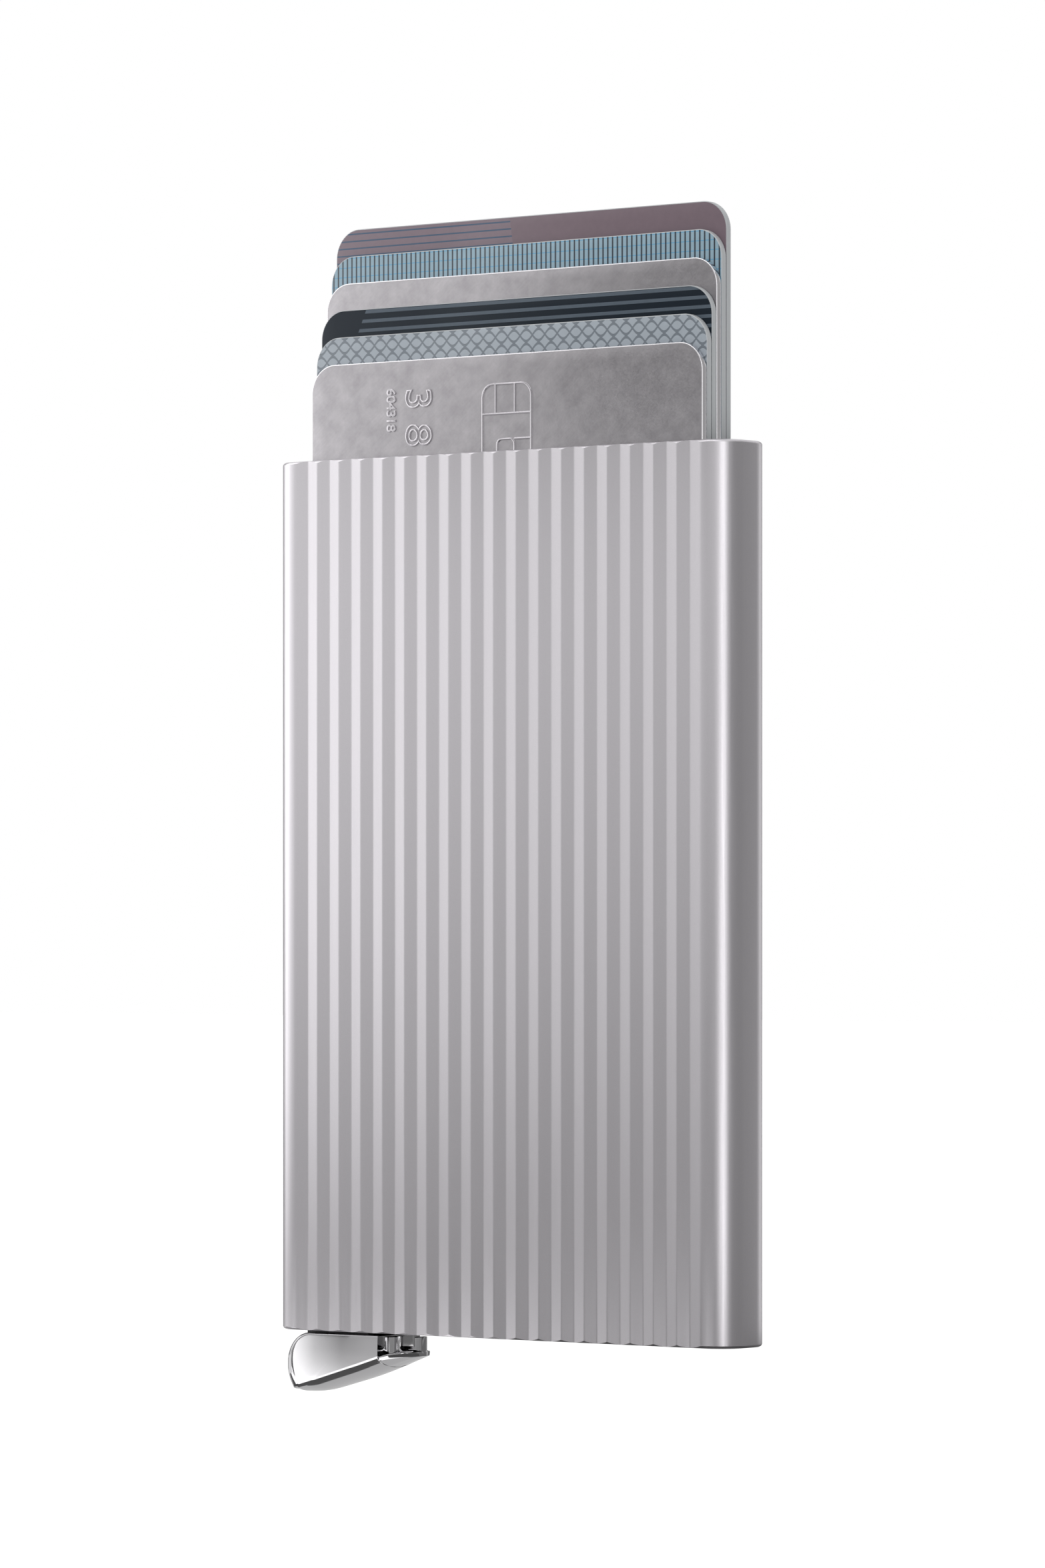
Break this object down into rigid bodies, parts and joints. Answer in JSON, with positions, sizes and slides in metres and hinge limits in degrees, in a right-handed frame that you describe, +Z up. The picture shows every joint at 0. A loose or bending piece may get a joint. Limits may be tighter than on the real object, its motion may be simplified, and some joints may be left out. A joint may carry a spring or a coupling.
{
  "type": "pop up card holder",
  "caption": "Slim pleated aluminium card tube with a chrome thumb lever under one end that lifts the bank cards inside into a stair.",
  "frame": {"origin": "centre of the tube's bottom end, on the flat underside of the bottom plug", "axes": "+Z up along the tube, the way the cards rise; +Y from the front of the tube to its back; +X to the right seen from the front, with the lever at -X"},
  "size_m": [0.063, 0.0084, 0.1289],
  "materials": {
    "tube_aluminium": "satin anodised",
    "plug_nylon": "moulded, fine satin",
    "lever_zinc": "mirror polished and chrome plated",
    "lifter_acetal": "moulded, semi gloss",
    "pin_steel": "ground",
    "rail_abs": "moulded, satin",
    "pad_silicone": "matt",
    "leaf_steel": "rolled",
    "card_metal": "fine cast grain, satin",
    "card_grey_blue": "printed and laminated, semi gloss",
    "card_navy": "printed and laminated, semi gloss",
    "card_light_blue": "printed and laminated, semi gloss",
    "card_mauve": "printed and laminated, semi gloss"
  },
  "bodies": {
    "housing": {"tube": "tube_aluminium", "bottom_plug": "plug_nylon", "guide_rail_left": "rail_abs", "guide_rail_right": "rail_abs", "friction_pad_left": "pad_silicone", "friction_pad_right": "pad_silicone", "clamp_spring_left": "leaf_steel", "clamp_spring_right": "leaf_steel"},
    "lever": {"thumb_lever": "lever_zinc", "lifter": "lifter_acetal", "hinge_pin": "pin_steel", "lever_pin": "pin_steel"},
    "card_1": {"card_1": "card_metal"},
    "card_2": {"card_2": "card_grey_blue"},
    "card_3": {"card_3": "card_navy"},
    "card_4": {"card_4": "card_metal"},
    "card_5": {"card_5": "card_light_blue"},
    "card_6": {"card_6": "card_mauve"}
  },
  "joints": [
    {"name": "lever_swing", "type": "hinge", "parent": "housing", "child": "lever", "pos_m": [-0.027, 0, -0.0037], "axis": [0, 1, 0], "range_deg": [0, 35]},
    {"name": "card_1_slide", "type": "slide", "parent": "housing", "child": "card_1", "axis": [0, 0, 1], "range_m": [-0.0116, 0]},
    {"name": "card_2_slide", "type": "slide", "parent": "housing", "child": "card_2", "axis": [0, 0, 1], "range_m": [-0.01466, 0]},
    {"name": "card_3_slide", "type": "slide", "parent": "housing", "child": "card_3", "axis": [0, 0, 1], "range_m": [-0.01772, 0]},
    {"name": "card_4_slide", "type": "slide", "parent": "housing", "child": "card_4", "axis": [0, 0, 1], "range_m": [-0.02078, 0]},
    {"name": "card_5_slide", "type": "slide", "parent": "housing", "child": "card_5", "axis": [0, 0, 1], "range_m": [-0.02384, 0]},
    {"name": "card_6_slide", "type": "slide", "parent": "housing", "child": "card_6", "axis": [0, 0, 1], "range_m": [-0.0269, 0]}
  ],
  "couplings": [
    {"joint": "lever_swing", "follows": "card_1_slide", "rad_per_m": -52.66},
    {"joint": "card_2_slide", "follows": "card_1_slide", "ratio": 1.2638},
    {"joint": "card_3_slide", "follows": "card_1_slide", "ratio": 1.5276},
    {"joint": "card_4_slide", "follows": "card_1_slide", "ratio": 1.7914},
    {"joint": "card_5_slide", "follows": "card_1_slide", "ratio": 2.0552},
    {"joint": "card_6_slide", "follows": "card_1_slide", "ratio": 2.319}
  ]
}
